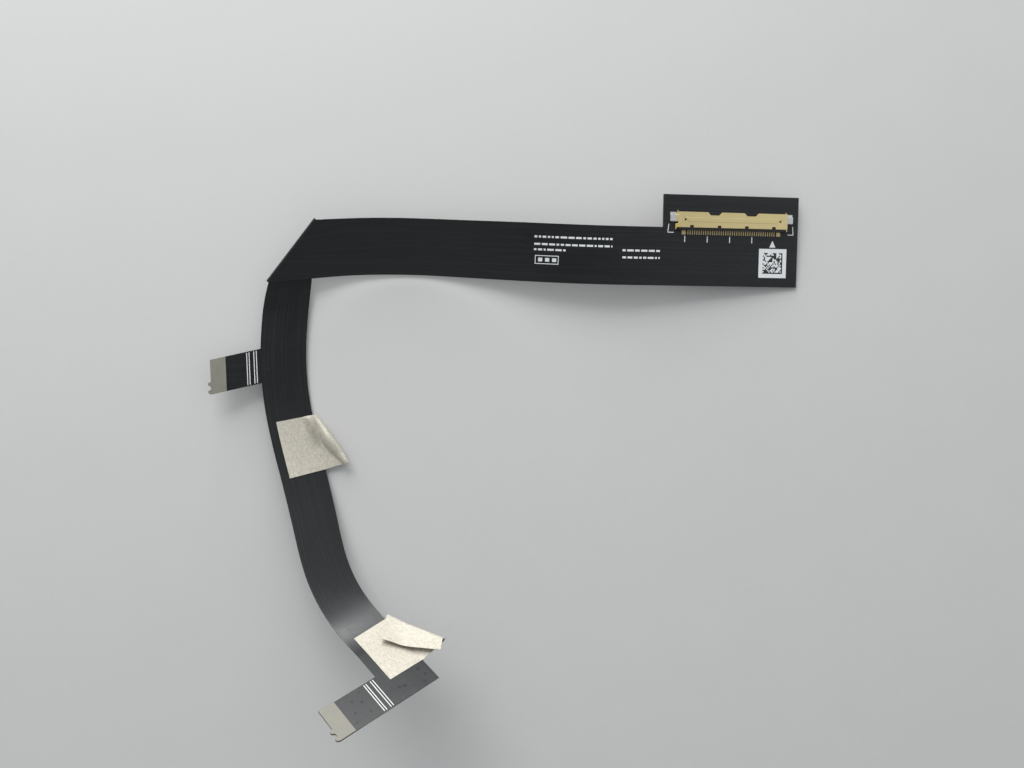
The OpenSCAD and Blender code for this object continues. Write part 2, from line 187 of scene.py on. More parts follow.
def left(a):
    level = Vector((-sin(a[0]), cos(a[0]), 0))
    upright = Vector((-sin(a[1]) * cos(a[0]), -sin(a[1]) * sin(a[0]), cos(a[1])))
    return cos(a[2]) * level + sin(a[2]) * upright


def face(a):
    return along(a).cross(left(a))


# Shares of the strip's length at which its curves begin and end.
BOW_OUT_BY = 0.45
BOW_BACK_FROM = 0.62
LEAN_PEAK_AT = 0.15
LEAN_OFF_FROM = 0.31
LEAN_OFF_BY = 0.94
WAVE_TURN = radians(320)

# Shares of the arm's length, up to its straight end.
TURN_FROM = 0.12
TURN_BY = 0.57
TURN_MORE_FROM = 0.7
FALL_BY = 0.27
RISE_FROM = 0.3


def strip_angles(s):
    """Heading, slope and lean of the strip at a distance from the crease."""
    strip = settings()[0]
    t = min(s, strip.long) / strip.long
    return (
        strip.heading - ease(t, 0, BOW_OUT_BY, strip.bow)
        + ease(t, BOW_BACK_FROM, 1, strip.bow - strip.heading),
        strip.slope - strip.wave * cos(WAVE_TURN * t),
        strip.lean + ease(t, 0, LEAN_PEAK_AT, strip.lean_more)
        - ease(t, LEAN_OFF_FROM, LEAN_OFF_BY, strip.lean + strip.lean_more - strip.board_lean),
    )


def arm_flat():
    """Distance from which the arm runs straight to its cut end."""
    arm = settings()[1]
    return arm.long - arm.tab_width - arm.flat


def arm_angles(s):
    """Heading, slope and lean of the arm at a distance from the crease."""
    arm = settings()[1]
    t = min(max(s, 0), arm_flat()) / arm_flat()
    rise = max(t - RISE_FROM, 0) / (1 - RISE_FROM)
    return (
        arm.heading + ease(t, TURN_FROM, TURN_BY, arm.turn) + ease(t, TURN_MORE_FROM, 1, arm.turn_more),
        -arm.fall * (1 - smooth(t / FALL_BY)) + arm.lift * rise * rise,
        -arm.lean - arm.twist * t * t,
    )


class Ribbon:
    """A centre line walked in even steps, and the frame that follows it."""

    STEP = 1 * MM

    def __init__(self, first, last, start, angles):
        self.first = first
        self.angles = angles
        self.points = [start.copy()]
        for i in range(ceil(round((last - first) / self.STEP, 6))):
            way = along(angles(first + (i + 0.5) * self.STEP))
            self.points.append(self.points[-1] + self.STEP * way)

    def centre(self, s):
        x = min(max((s - self.first) / self.STEP, 0), len(self.points) - 1.001)
        i = floor(x)
        return mix(self.points[i], self.points[i + 1], x - i)

    def place(self, s, v, h=0.0):
        a = self.angles(s)
        return self.centre(s) + v * left(a) + h * face(a)


class Lie:
    """The strip, the crease and the arm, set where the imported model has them."""

    SETTLE = 8 * MM
    BOARD_PLATE = 0.3 * MM

    def __init__(self):
        strip, arm = settings()[:2]
        self.run = strip.width / 2 / tan(strip.crease_angle)
        before = self.run + Ribbon.STEP
        start = Vector((-before, 0, strip.lift + before * tan(strip.wave - strip.slope)))
        self.strip = Ribbon(-before, strip.long + MM, start, strip_angles)
        self.half = strip.width / 2
        self.up = face(strip_angles(0))
        self.inner = self.strip.place(self.run, self.half)
        self.outer = self.strip.place(-self.run, -self.half)
        self.out = (self.outer - self.inner).cross(self.up).normalized()
        drop = 2 * strip.crease_r * self.up
        self.inner_low = self.inner - drop
        self.outer_low = self.outer - drop
        self.arm_half = arm.width / 2
        start = self.inner_low - self.arm_half * left(arm_angles(0))
        self.arm = Ribbon(0, arm.long + MM, start, arm_angles)
        self.outer_from = (self.outer_low - self.inner_low).dot(along(arm_angles(0)))
        self.crease_r = strip.crease_r
        self.shift = self.seat(strip)

    def seat(self, strip):
        """The move that takes the wide end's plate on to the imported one."""
        low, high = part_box("connector_stiffener")
        a = strip_angles(strip.long)
        corner = self.strip.centre(strip.long)
        corners = [
            corner + x * along(a) + y * left(a) + h * face(a)
            for x in (0, strip.board_long)
            for y in (-self.half, self.half + strip.board_step)
            for h in (-strip.film / 2 - self.BOARD_PLATE, -strip.film / 2)
        ]
        return Vector([low[k] - min(c[k] for c in corners) for k in range(3)])

    def strip_row(self, s):
        k = smooth((self.run + self.SETTLE - s) / self.SETTLE)
        far = s - 2 * self.run * k
        return self.strip.place(s, self.half), self.strip.place(far, -self.half)

    def roll_row(self, turn):
        way = self.up * cos(turn) + self.out * sin(turn) - self.up
        return self.inner + self.crease_r * way, self.outer + self.crease_r * way

    def arm_row(self, s):
        k = max(1 - s / (self.outer_from + self.SETTLE), 0)
        miss = self.outer_low - self.arm.place(self.outer_from, -self.arm_half)
        far = self.arm.place(s + self.outer_from * k, -self.arm_half) + miss * k * k
        return self.arm.place(s, self.arm_half), far

    def frame_at(self, point, a):
        """Matrix of a frame: x along, y to the left, z out of the face."""
        axes = Matrix((along(a), left(a), face(a))).transposed().to_4x4()
        return Matrix.Translation(point + self.shift) @ axes

    def board(self):
        """Frame of the wide end: x from its middle, y from its far edge, z on its face."""
        strip = settings()[0]
        turned = self.frame_at(self.strip.centre(strip.long), strip_angles(strip.long))
        corner = Vector((strip.board_long / 2, self.half + strip.board_step, strip.film / 2))
        return turned @ Matrix.Translation(corner)

    def side_tab(self):
        arm = settings()[1]
        a = arm_angles(arm.side_tab_at + arm.tab_width / 2)
        edge = self.arm.place(arm.side_tab_at, -self.arm_half)
        return self.frame_at(edge, (a[0], a[1], -arm.side_tab_rise))

    def lower_tab(self):
        arm = settings()[1]
        edge = self.arm.place(arm.long - arm.tab_width, -self.arm_half)
        return self.frame_at(edge, arm_angles(arm_flat()))


# ---------------------------------------------------------------- mesh helpers
def new_piece(name, bm, slot, *replaced):
    """Makes the bmesh an object that rides on the body and may stand for CAD nodes."""
    mesh = bpy.data.meshes.new(name)
    bm.to_mesh(mesh)
    bm.free()
    piece = bpy.data.objects.new(name, mesh)
    bpy.context.scene.collection.objects.link(piece)
    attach(piece, ROOT)
    if replaced:
        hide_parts(*replaced)
    return piece


def grid(bm, columns, rows, shape):
    """Lays a grid whose points come from shape(u, w), which gives a place and a lie."""
    lay = bm.verts.layers.float_vector.get("lay") or bm.verts.layers.float_vector.new("lay")
    made = bmesh.ops.create_grid(bm, x_segments=columns, y_segments=rows, size=0.5)
    for vert in made["verts"]:
        vert.co, vert[lay] = shape(vert.co.x + 0.5, vert.co.y + 0.5)
    return made["verts"]


def face_up(bm, verts, way):
    """Turns the faces of these points so that they look along way."""
    faces = list({f for v in verts for f in v.link_faces})
    bmesh.ops.recalc_face_normals(bm, faces=faces)
    total = Vector()
    for f in faces:
        f.normal_update()
        total += f.normal * f.calc_area()
    if total.dot(way) < 0:
        bmesh.ops.reverse_faces(bm, faces=faces)


def sharp_rim(bm):
    """Marks open edges sharp, so that a sheet's cut edge stays crisp."""
    for edge in bm.edges:
        if edge.is_boundary:
            edge.smooth = False
    for f in bm.faces:
        f.smooth = True


def solidify(piece, thick):
    made = piece.modifiers.new("Thickness", "SOLIDIFY")
    made.thickness = thick
    made.offset = 0
    made.use_even_offset = False


def outline_face(bm, points, lay_at):
    """One flat face from an outline, with its lie worked out point by point."""
    lay = bm.verts.layers.float_vector.get("lay") or bm.verts.layers.float_vector.new("lay")
    verts = [bm.verts.new(p) for p in points]
    for vert in verts:
        vert[lay] = lay_at(vert.co)
    bm.faces.new(verts)
    return verts


def pad(bm, corners, thick):
    """A thin raised shape on z = 0 from its outline."""
    verts = [bm.verts.new((x, y, 0)) for x, y in corners]
    base = bm.faces.new(verts)
    made = bmesh.ops.extrude_face_region(bm, geom=[base])
    top = [g for g in made["geom"] if isinstance(g, bmesh.types.BMVert)]
    bmesh.ops.translate(bm, verts=top, vec=(0, 0, thick))
    everything = verts + top
    bmesh.ops.recalc_face_normals(bm, faces=list({f for v in everything for f in v.link_faces}))
    return everything


def bar(bm, start, stop, width, thick):
    """A thin raised line between two points on z = 0."""
    start, stop = Vector(start), Vector(stop)
    side = (stop - start).normalized()
    side = Vector((-side.y, side.x)) * width / 2
    corners = [start + side, start - side, stop - side, stop + side]
    return pad(bm, [(c.x, c.y) for c in corners], thick)


# ---------------------------------------------------------------- material helpers
def value_of(tree, kind, a, b=None, c=None):
    """A Math node; numbers and sockets are both taken."""
    node = tree.nodes.new("ShaderNodeMath")
    node.operation = kind
    for socket, given in zip(node.inputs, (a, b, c)):
        if given is None:
            continue
        if isinstance(given, (int, float)):
            socket.default_value = given
        else:
            tree.links.new(given, socket)
    return node.outputs[0]


def vector_of(tree, x, y, z=0.0):
    node = tree.nodes.new("ShaderNodeCombineXYZ")
    for socket, given in zip(node.inputs, (x, y, z)):
        if isinstance(given, (int, float)):
            socket.default_value = given
        else:
            tree.links.new(given, socket)
    return node.outputs[0]


def noise(tree, vector, scale, detail=2.0, rough=0.5):
    node = tree.nodes.new("ShaderNodeTexNoise")
    node.inputs["Scale"].default_value = scale
    node.inputs["Detail"].default_value = detail
    node.inputs["Roughness"].default_value = rough
    tree.links.new(vector, node.inputs["Vector"])
    return node.outputs["Fac"]


def ramp(tree, fac, low, high):
    """Maps low..high to 0..1."""
    node = tree.nodes.new("ShaderNodeMapRange")
    node.inputs["From Min"].default_value = low
    node.inputs["From Max"].default_value = high
    tree.links.new(fac, node.inputs["Value"])
    return node.outputs["Result"]


def blend_of(tree, fac, a, b):
    """Mixes two colours, each a colour or a socket."""
    node = tree.nodes.new("ShaderNodeMix")
    node.data_type = "RGBA"
    if isinstance(fac, (int, float)):
        node.inputs[0].default_value = fac
    else:
        tree.links.new(fac, node.inputs[0])
    for socket, given in ((node.inputs[6], a), (node.inputs[7], b)):
        if isinstance(given, bpy.types.NodeSocket):
            tree.links.new(given, socket)
        else:
            socket.default_value = (*given, 1)
    return node.outputs[2]


def bump(tree, height, strength, distance):
    node = tree.nodes.new("ShaderNodeBump")
    node.inputs["Strength"].default_value = strength
    node.inputs["Distance"].default_value = distance
    tree.links.new(height, node.inputs["Height"])
    return node.outputs["Normal"]


def object_place(tree):
    return tree.nodes.new("ShaderNodeTexCoord").outputs["Object"]


def lay_of(tree):
    """Distance along and across the film, in millimetres, and the vector of both."""
    node = tree.nodes.new("ShaderNodeAttribute")
    node.attribute_name = "lay"
    split = tree.nodes.new("ShaderNodeSeparateXYZ")
    tree.links.new(node.outputs["Vector"], split.inputs[0])
    return split.outputs["X"], split.outputs["Y"], node.outputs["Vector"]


def shader(name, metallic=0.0, roughness=0.5, **sockets):
    """A material with a Principled shader; constants sit on the shader's own sockets."""
    made = bpy.data.materials.new(name)
    made.use_nodes = True
    tree = made.node_tree
    surface = tree.nodes["Principled BSDF"]
    surface.inputs["Metallic"].default_value = metallic
    surface.inputs["Roughness"].default_value = roughness
    for socket, given in sockets.items():
        surface.inputs[socket.replace("_", " ")].default_value = given
    return made, tree, surface


def grain_group():
    """Fine grain: mottles a colour, varies the gloss and gives a height for bump."""
    name = "Fine grain"
    if name in bpy.data.node_groups:
        return bpy.data.node_groups[name]
    group = bpy.data.node_groups.new(name, "ShaderNodeTree")
    face_of = group.interface
    for label, kind in (("Vector", "NodeSocketVector"), ("Scale", "NodeSocketFloat"),
                        ("Color", "NodeSocketColor"), ("Mottle", "NodeSocketFloat"),
                        ("Roughness", "NodeSocketFloat")):
        face_of.new_socket(name=label, in_out="INPUT", socket_type=kind)
    for label, kind in (("Color", "NodeSocketColor"), ("Roughness", "NodeSocketFloat"),
                        ("Height", "NodeSocketFloat")):
        face_of.new_socket(name=label, in_out="OUTPUT", socket_type=kind)
    given = group.nodes.new("NodeGroupInput").outputs
    result = group.nodes.new("NodeGroupOutput").inputs
    fine = group.nodes.new("ShaderNodeTexNoise")
    fine.inputs["Detail"].default_value = 3
    group.links.new(given["Vector"], fine.inputs["Vector"])
    group.links.new(given["Scale"], fine.inputs["Scale"])
    broad = group.nodes.new("ShaderNodeTexNoise")
    broad.inputs["Detail"].default_value = 2
    group.links.new(given["Vector"], broad.inputs["Vector"])
    group.links.new(value_of(group, "MULTIPLY", given["Scale"], 0.12), broad.inputs["Scale"])
    both = value_of(group, "ADD", fine.outputs["Fac"], broad.outputs["Fac"])
    centred = value_of(group, "SUBTRACT", both, 1.0)
    gain = value_of(group, "MULTIPLY_ADD", centred, given["Mottle"], 1.0)
    scaled = group.nodes.new("ShaderNodeVectorMath")
    scaled.operation = "SCALE"
    group.links.new(given["Color"], scaled.inputs[0])
    group.links.new(gain, scaled.inputs["Scale"])
    group.links.new(scaled.outputs[0], result["Color"])
    gloss = value_of(group, "MULTIPLY_ADD", centred, 0.12, given["Roughness"])
    group.links.new(gloss, result["Roughness"])
    group.links.new(fine.outputs["Fac"], result["Height"])
    return group


def grained(tree, surface, vector, colour, scale, mottle, roughness):
    """Places the grain group in a material and wires its colour and gloss."""
    node = tree.nodes.new("ShaderNodeGroup")
    node.node_tree = grain_group()
    tree.links.new(vector, node.inputs["Vector"])
    node.inputs["Scale"].default_value = scale
    node.inputs["Mottle"].default_value = mottle
    node.inputs["Roughness"].default_value = roughness
    if isinstance(colour, bpy.types.NodeSocket):
        tree.links.new(colour, node.inputs["Color"])
    else:
        node.inputs["Color"].default_value = (*colour, 1)
    tree.links.new(node.outputs["Color"], surface.inputs["Base Color"])
    tree.links.new(node.outputs["Roughness"], surface.inputs["Roughness"])
    return node.outputs["Height"]


def finish_material(name, colour, scale, mottle, roughness, lift, metallic=0.0, **sockets):
    """A grained finish on object coordinates, for moulded, plated and printed pieces."""
    made, tree, surface = shader(name, metallic, roughness, **sockets)
    height = grained(tree, surface, object_place(tree), colour, scale, mottle, roughness)
    tree.links.new(bump(tree, height, 0.25, lift), surface.inputs["Normal"])
    return made


# ---------------------------------------------------------------- materials
def film_material(look):
    """Dark satin cover film with lengthwise copper ridges showing through."""
    made, tree, surface = shader("Cover film", 0.0, 0.32, IOR=1.5)
    s, v, both = lay_of(tree)
    wave = value_of(tree, "SINE", value_of(tree, "MULTIPLY", v, 2 * pi / 0.42))
    runs = noise(tree, vector_of(tree, value_of(tree, "MULTIPLY", s, 0.012), v), 1.9, 3.0)
    copper = value_of(tree, "MULTIPLY", ramp(tree, wave, -0.2, 0.7), ramp(tree, runs, 0.46, 0.60))
    colour = blend_of(tree, copper, look.film, look.film_high)
    grain = grained(tree, surface, both, colour, 1.1, 0.35, 0.32)
    specks = noise(tree, both, 2.6, 0.0)
    speck = ramp(tree, specks, 0.83, 0.86)
    height = value_of(tree, "ADD", copper, value_of(tree, "MULTIPLY", grain, 0.5))
    height = value_of(tree, "ADD", height, speck)
    tree.links.new(bump(tree, height, 0.5, 0.010 * MM), surface.inputs["Normal"])
    return made


def cloth_material(look, pitch):
    """Plain-woven conductive cloth: threads over and under, with a metal sheen; the colour darkens in the
    hollows between threads as painted shade, mixed with random slub and speck tone.
    """
    made, tree, surface = shader("Conductive cloth", 0.25, 0.5)
    s, v, both = lay_of(tree)
    turn = 2 * pi / (pitch / MM)
    warp = value_of(tree, "SINE", value_of(tree, "MULTIPLY", s, turn))
    weft = value_of(tree, "SINE", value_of(tree, "MULTIPLY", v, turn))
    crossing = value_of(tree, "MULTIPLY", warp, weft)
    slubs = noise(tree, vector_of(tree, value_of(tree, "MULTIPLY", s, 0.4), v), 2.2, 2.0)
    thread = value_of(tree, "MULTIPLY_ADD", crossing, 0.5, 0.5)
    speckle = noise(tree, both, 2.6, 2.0, 0.7)
    # Colour follows the weave's height: low places get painted shade, while slubs and specks add random
    # tone.
    mixed = value_of(tree, "MULTIPLY_ADD", slubs, 0.5, value_of(tree, "MULTIPLY", thread, 0.55))
    weave_shade_and_tone = ramp(tree, value_of(tree, "MULTIPLY_ADD", speckle, 0.9, mixed), 0.45, 1.1)
    colour = blend_of(tree, weave_shade_and_tone, look.cloth_hollow_shade, look.cloth)
    grained(tree, surface, both, colour, 0.9, 0.18, 0.5)
    tree.links.new(bump(tree, mixed, 0.8, 0.06 * MM), surface.inputs["Normal"])
    return made


def label_material(look, size):
    """White label with a generic field of dark cells, solid along two sides."""
    made, tree, surface = shader("Label", 0.0, 0.45)
    x, y, both = lay_of(tree)
    cells = 16
    field_share = 0.72
    margin_share = 0.14
    cell = size / MM * field_share / cells
    start = size / MM * margin_share

    def inside(value, low, high):
        above = value_of(tree, "GREATER_THAN", value, low)
        return value_of(tree, "MULTIPLY", above, value_of(tree, "LESS_THAN", value, high))

    column = value_of(tree, "FLOOR", value_of(tree, "DIVIDE", value_of(tree, "SUBTRACT", x, start), cell))
    row = value_of(tree, "FLOOR", value_of(tree, "DIVIDE", value_of(tree, "SUBTRACT", y, start), cell))
    field = value_of(tree, "MULTIPLY", inside(column, -0.5, cells - 0.5), inside(row, -0.5, cells - 0.5))
    white = tree.nodes.new("ShaderNodeTexWhiteNoise")
    white.noise_dimensions = "2D"
    tree.links.new(vector_of(tree, column, row), white.inputs["Vector"])
    dark = value_of(tree, "GREATER_THAN", white.outputs["Value"], 0.5)
    edges = value_of(tree, "MAXIMUM", value_of(tree, "GREATER_THAN", column, cells - 1.5),
                     value_of(tree, "LESS_THAN", row, 0.5))
    dark = value_of(tree, "MULTIPLY", value_of(tree, "MAXIMUM", dark, edges), field)
    colour = blend_of(tree, dark, look.paper, (0.02, 0.02, 0.022))
    height = grained(tree, surface, both, colour, 1.5, 0.05, 0.45)
    tree.links.new(bump(tree, height, 0.2, 0.01 * MM), surface.inputs["Normal"])
    return made


def glass_board_material(look):
    """Glass-and-resin plate with a faint square weave."""
    made, tree, surface = shader("Glass resin plate", 0.0, 0.42)
    place = object_place(tree)
    split = tree.nodes.new("ShaderNodeSeparateXYZ")
    tree.links.new(place, split.inputs[0])
    turn = 2 * pi / (0.5 * MM)
    a = value_of(tree, "SINE", value_of(tree, "MULTIPLY", split.outputs["X"], turn))
    b = value_of(tree, "SINE", value_of(tree, "MULTIPLY", split.outputs["Y"], turn))
    weave = value_of(tree, "MULTIPLY_ADD", value_of(tree, "MULTIPLY", a, b), 0.5, 0.5)
    pale = [min(1, c * 1.35) for c in look.board_plate]
    colour = blend_of(tree, weave, look.board_plate, pale)
    grained(tree, surface, place, colour, 900.0, 0.25, 0.42)
    tree.links.new(bump(tree, weave, 0.3, 0.01 * MM), surface.inputs["Normal"])
    return made


# ---------------------------------------------------------------- operators
class FLEX_OT_film(bpy.types.Operator):
    """Lays the folded film: strip, crease, arm, wide end and two tabs"""

    bl_idname = "flex.film"
    bl_label = "Folded film"

    STATION = 0.5 * MM
    ACROSS = 12
    ROLL_STEP = 10
    INTO_BOARD = 0.3 * MM
    INTO_ARM = 0.15 * MM
    BOARD_GRID = (40, 26)

    def rows(self, lie, strip, arm):
        """Left and right points of each section, and its distance in millimetres."""
        rows = []
        count = ceil((strip.long - lie.run) / self.STATION)
        for i in range(count + 1):
            s = mix(strip.long + self.INTO_BOARD, lie.run, i / count)
            rows.append((*lie.strip_row(s), -s))
        for turn in range(self.ROLL_STEP, 180, self.ROLL_STEP):
            rows.append((*lie.roll_row(radians(turn)), 0.0))
        count = ceil(arm.long / self.STATION)
        for i in range(count + 1):
            s = arm.long * i / count
            rows.append((*lie.arm_row(s), s))
        return rows

    def execute(self, context):
        strip, arm, _tape, look = settings()
        lie = Lie()
        bm = bmesh.new()
        rows = self.rows(lie, strip, arm)

        def sweep(u, w):
            near, far, s = rows[round(u * (len(rows) - 1))]
            width = (near - far).length
            return mix(far, near, w) + lie.shift, Vector((s, (w - 0.5) * width, 0)) / MM

        verts = grid(bm, len(rows) - 1, self.ACROSS, sweep)
        outermost = min(verts, key=lambda v: v.co.x)
        face_up(bm, [outermost], Vector((0, 0, 1)))
        faces = [f for v in verts for f in v.link_faces]
        bmesh.ops.recalc_face_normals(bm, faces=list(set(faces)))

        board = lie.board()
        wide = strip.width + strip.board_step

        def plate(u, w):
            x, y = (u - 0.5) * strip.board_long, -w * wide
            lay = Vector((-strip.long - u * strip.board_long, lie.half + strip.board_step + y, 0))
            return board @ Vector((x, y, -strip.film / 2)), lay / MM

        face_up(bm, grid(bm, *self.BOARD_GRID, plate), board.to_3x3() @ Vector((0, 0, 1)))
        for tab, long, rake, root in (
            (lie.side_tab(), arm.side_tab, arm.side_tab_rake, self.INTO_ARM),
            (lie.lower_tab(), arm.lower_tab, 0.0, 0.0),
        ):
            outline = tab_outline(-root, long, rake)
            points = [tab @ Vector((x, y, 0)) for x, y in outline]
            verts = outline_face(bm, points, lambda co, t=tab: tab_lay(t, co))
            face_up(bm, verts, tab.to_3x3() @ Vector((0, 0, 1)))
        sharp_rim(bm)
        piece = new_piece("folded_film", bm, "laminate", "flex_circuit")
        solidify(piece, strip.film)
        piece.data.materials.append(film_material(look))
        return {"FINISHED"}


def tab_lay(tab, co):
    """Distance along and across a tab, in millimetres."""
    local = tab.inverted() @ co
    return Vector((local.y, local.x, 0)) / MM


TOOTH_W = 1.1 * MM
TOOTH_H = 0.6 * MM
FIRST_TOOTH = 2.8 * MM
TOOTH_SHAPE = ((0, 0), (0.3, 1), (0.7, 1), (1, 0.1))


def tab_outline(start, stop, rake):
    """Outline of a tab with raked sides and two small locking teeth on its end."""
    width = settings()[1].tab_width
    near, far = start * tan(rake), stop * tan(rake)
    points = [(far, -stop)]
    for x in (width - FIRST_TOOTH, width - TOOTH_W):
        for share, out in TOOTH_SHAPE:
            points.append((far + x + TOOTH_W * share, -stop - TOOTH_H * out))
    return points + [(width + near, -start), (near, -start)]


class FLEX_OT_ridges(bpy.types.Operator):
    """Raises the copper runs, rings and beads that show through the film"""

    bl_idname = "flex.ridges"
    bl_label = "Copper under the film"

    LINE = 0.13 * MM
    HIGH = 0.022 * MM
    # Share of a ring's radius, and share of the line's height, from the rim inwards.
    RING = ((0.86, 2.2), (0.55, 2.2), (0.42, 0.0))
    # Places on the lower tab in millimetres, across it and towards the arm.
    RINGS = ((3.4, 7.6), (5.1, 8.1), (6.5, 7.0), (5.0, 3.4), (4.6, 2.4))
    RING_RADIUS = 0.34
    BEADS = ((1.0, -4.4), (3.1, -5.2), (5.6, -4.9), (2.0, -6.6), (4.4, -7.4), (6.2, -8.2))
    BEAD_RADIUS = 0.22
    LONG_RUN = ((2.3, 6.4), (4.4, 6.4), (5.9, 4.9), (5.9, 1.6))
    BOARD_RUNS = 6
    TAB_RUNS = 5

    def run(self, bm, points):
        """A raised line through points given in millimetres."""
        made = []
        for start, stop in zip(points, points[1:]):
            made += bar(bm, [c * MM for c in start], [c * MM for c in stop], self.LINE, self.HIGH)
        return made

    def ring(self, bm, x, y, radius):
        """A raised ring with a sunken middle."""
        outer = bmesh.ops.create_circle(bm, segments=20, radius=radius * MM)["verts"]
        bmesh.ops.translate(bm, verts=outer, vec=(x * MM, y * MM, 0))
        made = list(outer)
        rim = [e for e in bm.edges if e.verts[0] in outer and e.verts[1] in outer]
        for scale, share in self.RING:
            grown = bmesh.ops.extrude_edge_only(bm, edges=rim)["geom"]
            verts = [g for g in grown if isinstance(g, bmesh.types.BMVert)]
            rim = [g for g in grown if isinstance(g, bmesh.types.BMEdge)
                   and g.verts[0] in verts and g.verts[1] in verts]
            for vert in verts:
                way = Vector((vert.co.x - x * MM, vert.co.y - y * MM)).normalized()
                reach = radius * scale * MM
                vert.co = (x * MM + way.x * reach, y * MM + way.y * reach, self.HIGH * share)
            made += verts
        return made

    def execute(self, context):
        strip = settings()[0]
        lie = Lie()
        bm = bmesh.new()
        made = []
        for k in range(self.BOARD_RUNS):
            level = -18.6 + 0.95 * k
            turn = -1.0 - 1.6 * k
            high = -10.4 - 0.15 * k
            made += self.run(bm, [(-15.2, level), (turn, level), (turn + (high - level), high)])
        bmesh.ops.transform(bm, matrix=lie.board(), verts=made)
        made = []
        for k in range(self.TAB_RUNS):
            x, y = 2.3, 2.1 + 0.55 * k
            bend = x + 0.5 + 0.42 * k
            made += self.run(bm, [(x, y), (bend, y), (bend + 0.9, y - 0.9), (bend + 0.9, -0.6)])
        made += self.run(bm, self.LONG_RUN)
        for x, y in self.RINGS:
            made += self.ring(bm, x, y, self.RING_RADIUS)
        for x, y in self.BEADS:
            made += self.ring(bm, x, y, self.BEAD_RADIUS)
        move = lie.lower_tab() @ Matrix.Translation((0, 0, strip.film / 2))
        bmesh.ops.transform(bm, matrix=move, verts=made)
        piece = new_piece("copper_ridges", bm, "laminate")
        piece.data.materials.append(bpy.data.materials["Cover film"])
        return {"FINISHED"}


class FLEX_OT_tapes(bpy.types.Operator):
    """Makes the two grounding tapes: stuck down, past the arm's edge and doubled back"""

    bl_idname = "flex.tapes"
    bl_label = "Grounding tapes"

    ROWS = 48
    ACROSS = 60
    HUMP_FROM = 2.4 * MM
    UPPER_RADII = (0.3 * MM, 0.8 * MM)
    UPPER_HUMP = 1.5 * MM
    UPPER_CURL = 0.7 * MM
    UPPER_EDGE = 0.25 * MM
    LOWER_HUMP = 0.15 * MM

    def cloth(self, name, lie, first, droop, form):
        """One tape. form(u) gives the fold's radius and the flap's length, sink, hump and curl."""
        strip, arm, tape, _look = settings()
        fold_angle = atan(tape.overhang / tape.long)
        base_h = (strip.film + tape.thick) / 2 + tape.bond

        def shape(u, w):
            s = first + tape.long * u
            a = arm_angles(s)
            b = (a[0], a[1], mix(a[2], droop, smooth(2 * u)))
            edge = lie.arm.place(s, lie.arm_half, base_h)
            radius, back, sink, bulge, curl = form(u)
            out = tape.fold_gap + tape.overhang * u
            spans = (tape.reach + lie.arm_half, out, pi * radius, back)
            d = w * sum(spans)
            lay = Vector((tape.long * u, d, 0)) / MM
            away = min(max(d - spans[0] + self.HUMP_FROM, 0) / (self.HUMP_FROM + out), 1)
            hump = bulge * sin(pi * away) ** 2
            if d < spans[0]:
                return lie.arm.place(s, d - tape.reach, base_h + hump) + lie.shift, lay
            d -= spans[0]
            lifted = curl * face(b)
            if d < spans[1]:
                rise = hump * face(b) + lifted * (d / spans[1]) ** 2
                return edge + d * left(b) + rise + lie.shift, lay
            d -= spans[1]
            if d < spans[2]:
                turn = d / radius
                point = edge + (out + radius * sin(turn)) * left(b) + lifted
                return point + radius * (1 - cos(turn)) * face(b) + lie.shift, lay
            d -= spans[2]
            k = d / back
            point = edge + (out - d * cos(2 * fold_angle)) * left(b) + lifted
            point += d * sin(2 * fold_angle) * along(b)
            return point + (2 * radius - sink * k * k) * face(b) + lie.shift, lay

        bm = bmesh.new()
        grid(bm, self.ROWS, self.ACROSS, shape)
        bmesh.ops.recalc_face_normals(bm, faces=bm.faces)
        sharp_rim(bm)
        piece = new_piece(name, bm, "tape", name.replace("cloth", "tape"))
        solidify(piece, tape.thick)
        radius, back = form(0.5)[:2]
        return piece

    def execute(self, context):
        _strip, arm, tape, look = settings()
        lie = Lie()
        material = cloth_material(look, tape.weave)
        lower_at = arm.long - arm.tab_width + tape.lower_past - tape.long

        def upper(u):
            radius = mix(*self.UPPER_RADII, sin(pi * u))
            back = mix(tape.upper_flap_end, tape.upper_flap / 2, sin(pi * u))
            bulge = self.UPPER_HUMP * (1 - smooth((u - 0.12) / 0.5)) * smooth(u / 0.06 + 0.4)
            curl = self.UPPER_CURL * smooth((u - 0.75) / 0.25)
            return radius, back, 2 * radius - self.UPPER_EDGE, bulge, curl

        def lower(u):
            back = mix(tape.lower_flap, tape.lower_flap_end, u)
            return tape.fold_r, back, -tape.lower_rise, self.LOWER_HUMP * sin(pi * u), 0.0

        for piece in (
            self.cloth("upper_cloth", lie, tape.upper_at, tape.upper_droop, upper),
            self.cloth("lower_cloth", lie, lower_at, tape.lower_droop, lower),
        ):
            piece.data.materials.append(material)
        return {"FINISHED"}


INK = 0.012 * MM


